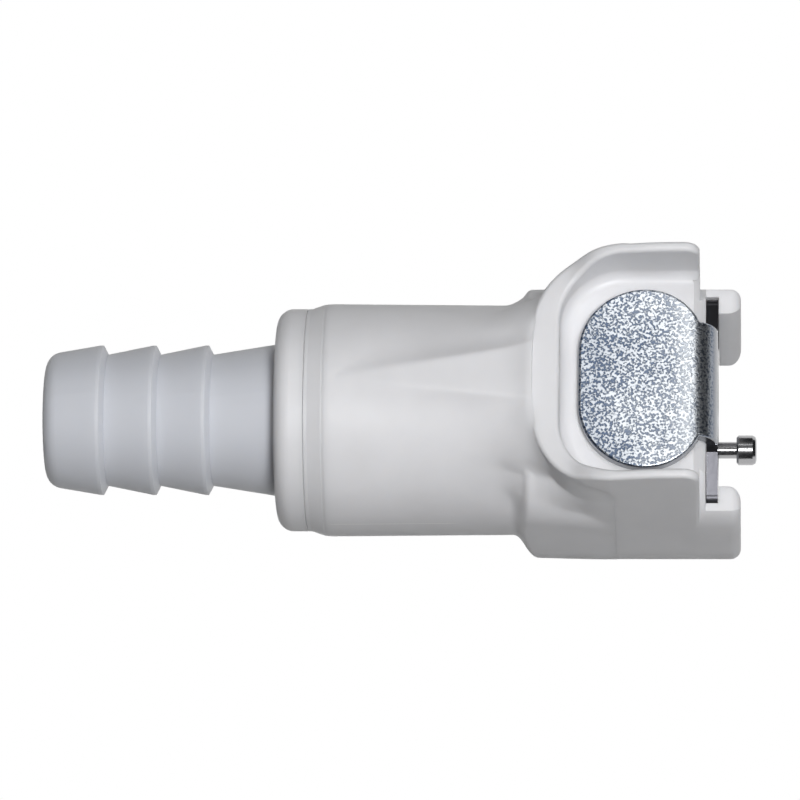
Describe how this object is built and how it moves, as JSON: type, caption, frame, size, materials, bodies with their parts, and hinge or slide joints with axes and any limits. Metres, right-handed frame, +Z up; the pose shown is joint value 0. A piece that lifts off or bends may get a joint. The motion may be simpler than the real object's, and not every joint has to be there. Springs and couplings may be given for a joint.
{
  "type": "quick-disconnect hose barb fitting",
  "caption": "Valved quick-disconnect coupling body with a hose barb at one end and a latched socket with a thumb pad at the other, latch down and ready.",
  "frame": {"origin": "on the flow axis at the mouth of the socket, in the housing's front face", "axes": "+X along the flow axis and out of the socket, +Z up through the thumb pad"},
  "size_m": [0.0538, 0.019, 0.0221],
  "materials": {
    "moulded_body": "satin",
    "moulded_barb": "satin",
    "latch_steel": "satin",
    "pin_steel": "polished",
    "spring_steel": "satin",
    "seal_rubber": "matte"
  },
  "bodies": {
    "body": {"coupling_body": "moulded_body", "hose_barb": "moulded_barb", "socket_o_ring": "seal_rubber", "latch_spring": "spring_steel", "pin_spring": "spring_steel", "valve_spring": "spring_steel"},
    "latch": {"latch_plate": "latch_steel"},
    "pin": {"release_pin": "pin_steel"},
    "poppet": {"valve_poppet": "moulded_body", "valve_o_ring": "seal_rubber"}
  },
  "joints": [
    {"name": "latch_rise", "type": "slide", "parent": "body", "child": "latch", "axis": [0, 0, 1], "range_m": [0, 0.0016], "deforming": ["latch_spring"]},
    {"name": "pin_push", "type": "slide", "parent": "body", "child": "pin", "axis": [1, 0, 0], "range_m": [-0.0012, 0], "deforming": ["pin_spring"]},
    {"name": "valve_push", "type": "slide", "parent": "body", "child": "poppet", "axis": [1, 0, 0], "range_m": [-0.0022, 0], "stiffness_N_per_m": 600, "springref_m": 0.002, "deforming": ["valve_spring"]}
  ],
  "couplings": [
    {"joint": "pin_push", "follows": "latch_rise", "ratio": -0.75}
  ]
}
